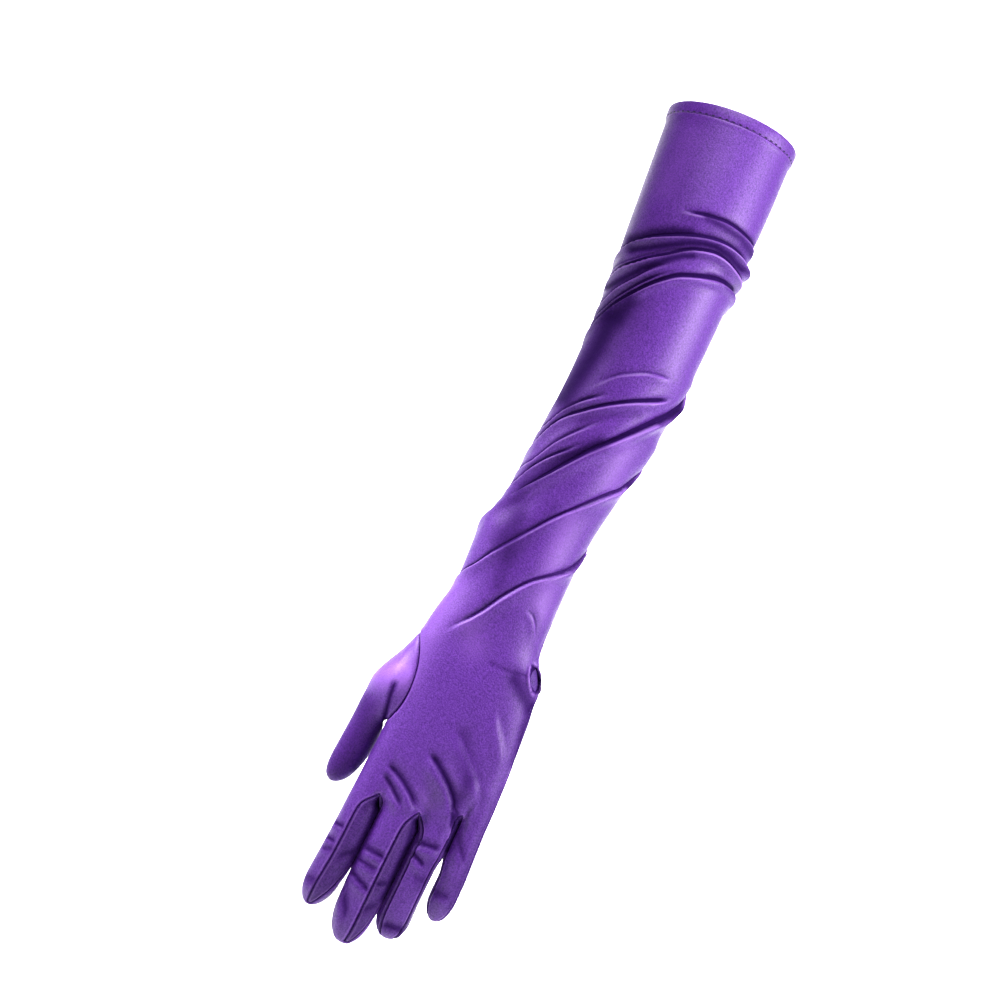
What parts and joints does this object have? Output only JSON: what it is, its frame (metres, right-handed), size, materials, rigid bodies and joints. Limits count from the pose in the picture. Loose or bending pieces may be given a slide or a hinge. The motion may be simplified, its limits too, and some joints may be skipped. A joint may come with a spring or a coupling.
{
  "type": "opera glove",
  "caption": "Long satin evening glove for the left hand, reaching over the elbow, with set-in thumb, finger side strips and a turned hem at the cuff.",
  "frame": {"origin": "centre of the cuff's mouth, where the upper arm goes in", "axes": "+Z out of the cuff, up the arm; -Y out of the back of the hand; +Y out of the palm; -X towards the thumb; +X towards the little finger"},
  "size_m": [0.1084, 0.0946, 0.5605],
  "materials": {
    "satin": "satin",
    "satin_strips": "satin"
  },
  "bodies": {
    "root": {"sleeve": "satin", "hand": "satin", "hem": "satin", "thumb": "satin", "fourchette_index_middle": "satin_strips", "fourchette_middle_ring": "satin_strips", "fourchette_ring_little": "satin_strips"}
  },
  "joints": []
}
